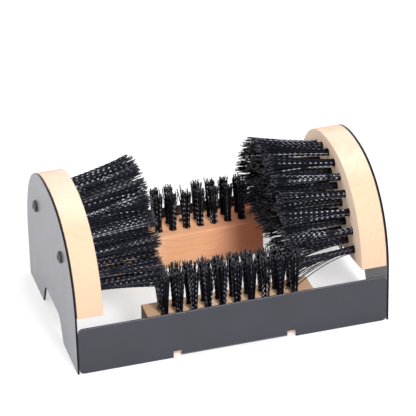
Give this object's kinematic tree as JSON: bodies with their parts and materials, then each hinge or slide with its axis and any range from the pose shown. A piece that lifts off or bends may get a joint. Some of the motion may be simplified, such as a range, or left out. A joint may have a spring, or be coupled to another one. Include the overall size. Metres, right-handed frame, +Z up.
{
  "type": "boot brush",
  "caption": "Steel floor stand with two upright half-round brushes facing each other and two floor brushes between, for scrubbing the sides and sole of a boot.",
  "frame": {"origin": "on the floor, under the middle of the stand", "axes": "+X to the right along the stand, across the way that a boot is drawn through; +Y to the rear wall; +Z up"},
  "size_m": [0.2966, 0.182, 0.1495],
  "materials": {
    "coated_steel": "satin dark grey powder coat",
    "side_board_wood": "sanded pale maple, unvarnished",
    "front_board_wood": "sanded pale tan maple, unvarnished",
    "rear_board_wood": "sanded reddish wood, unvarnished",
    "bristle_nylon": "black crimped filament with a slight gloss",
    "black_screw": "black coated screw"
  },
  "bodies": {
    "root": {"base_pan": "coated_steel", "rear_pan": "coated_steel", "left_side_plate": "coated_steel", "right_side_plate": "coated_steel", "left_front_weld": "coated_steel", "left_rear_weld": "coated_steel", "right_front_weld": "coated_steel", "right_rear_weld": "coated_steel", "left_side_board": "side_board_wood", "right_side_board": "side_board_wood", "front_floor_board": "front_board_wood", "rear_floor_board": "rear_board_wood", "left_side_bristles": "bristle_nylon", "right_side_bristles": "bristle_nylon", "front_floor_bristles": "bristle_nylon", "rear_floor_bristles": "bristle_nylon", "left_front_board_screw": "black_screw", "left_rear_board_screw": "black_screw", "right_front_board_screw": "black_screw", "right_rear_board_screw": "black_screw", "front_left_floor_screw": "black_screw", "front_right_floor_screw": "black_screw", "rear_left_floor_screw": "black_screw", "rear_right_floor_screw": "black_screw"}
  },
  "joints": []
}
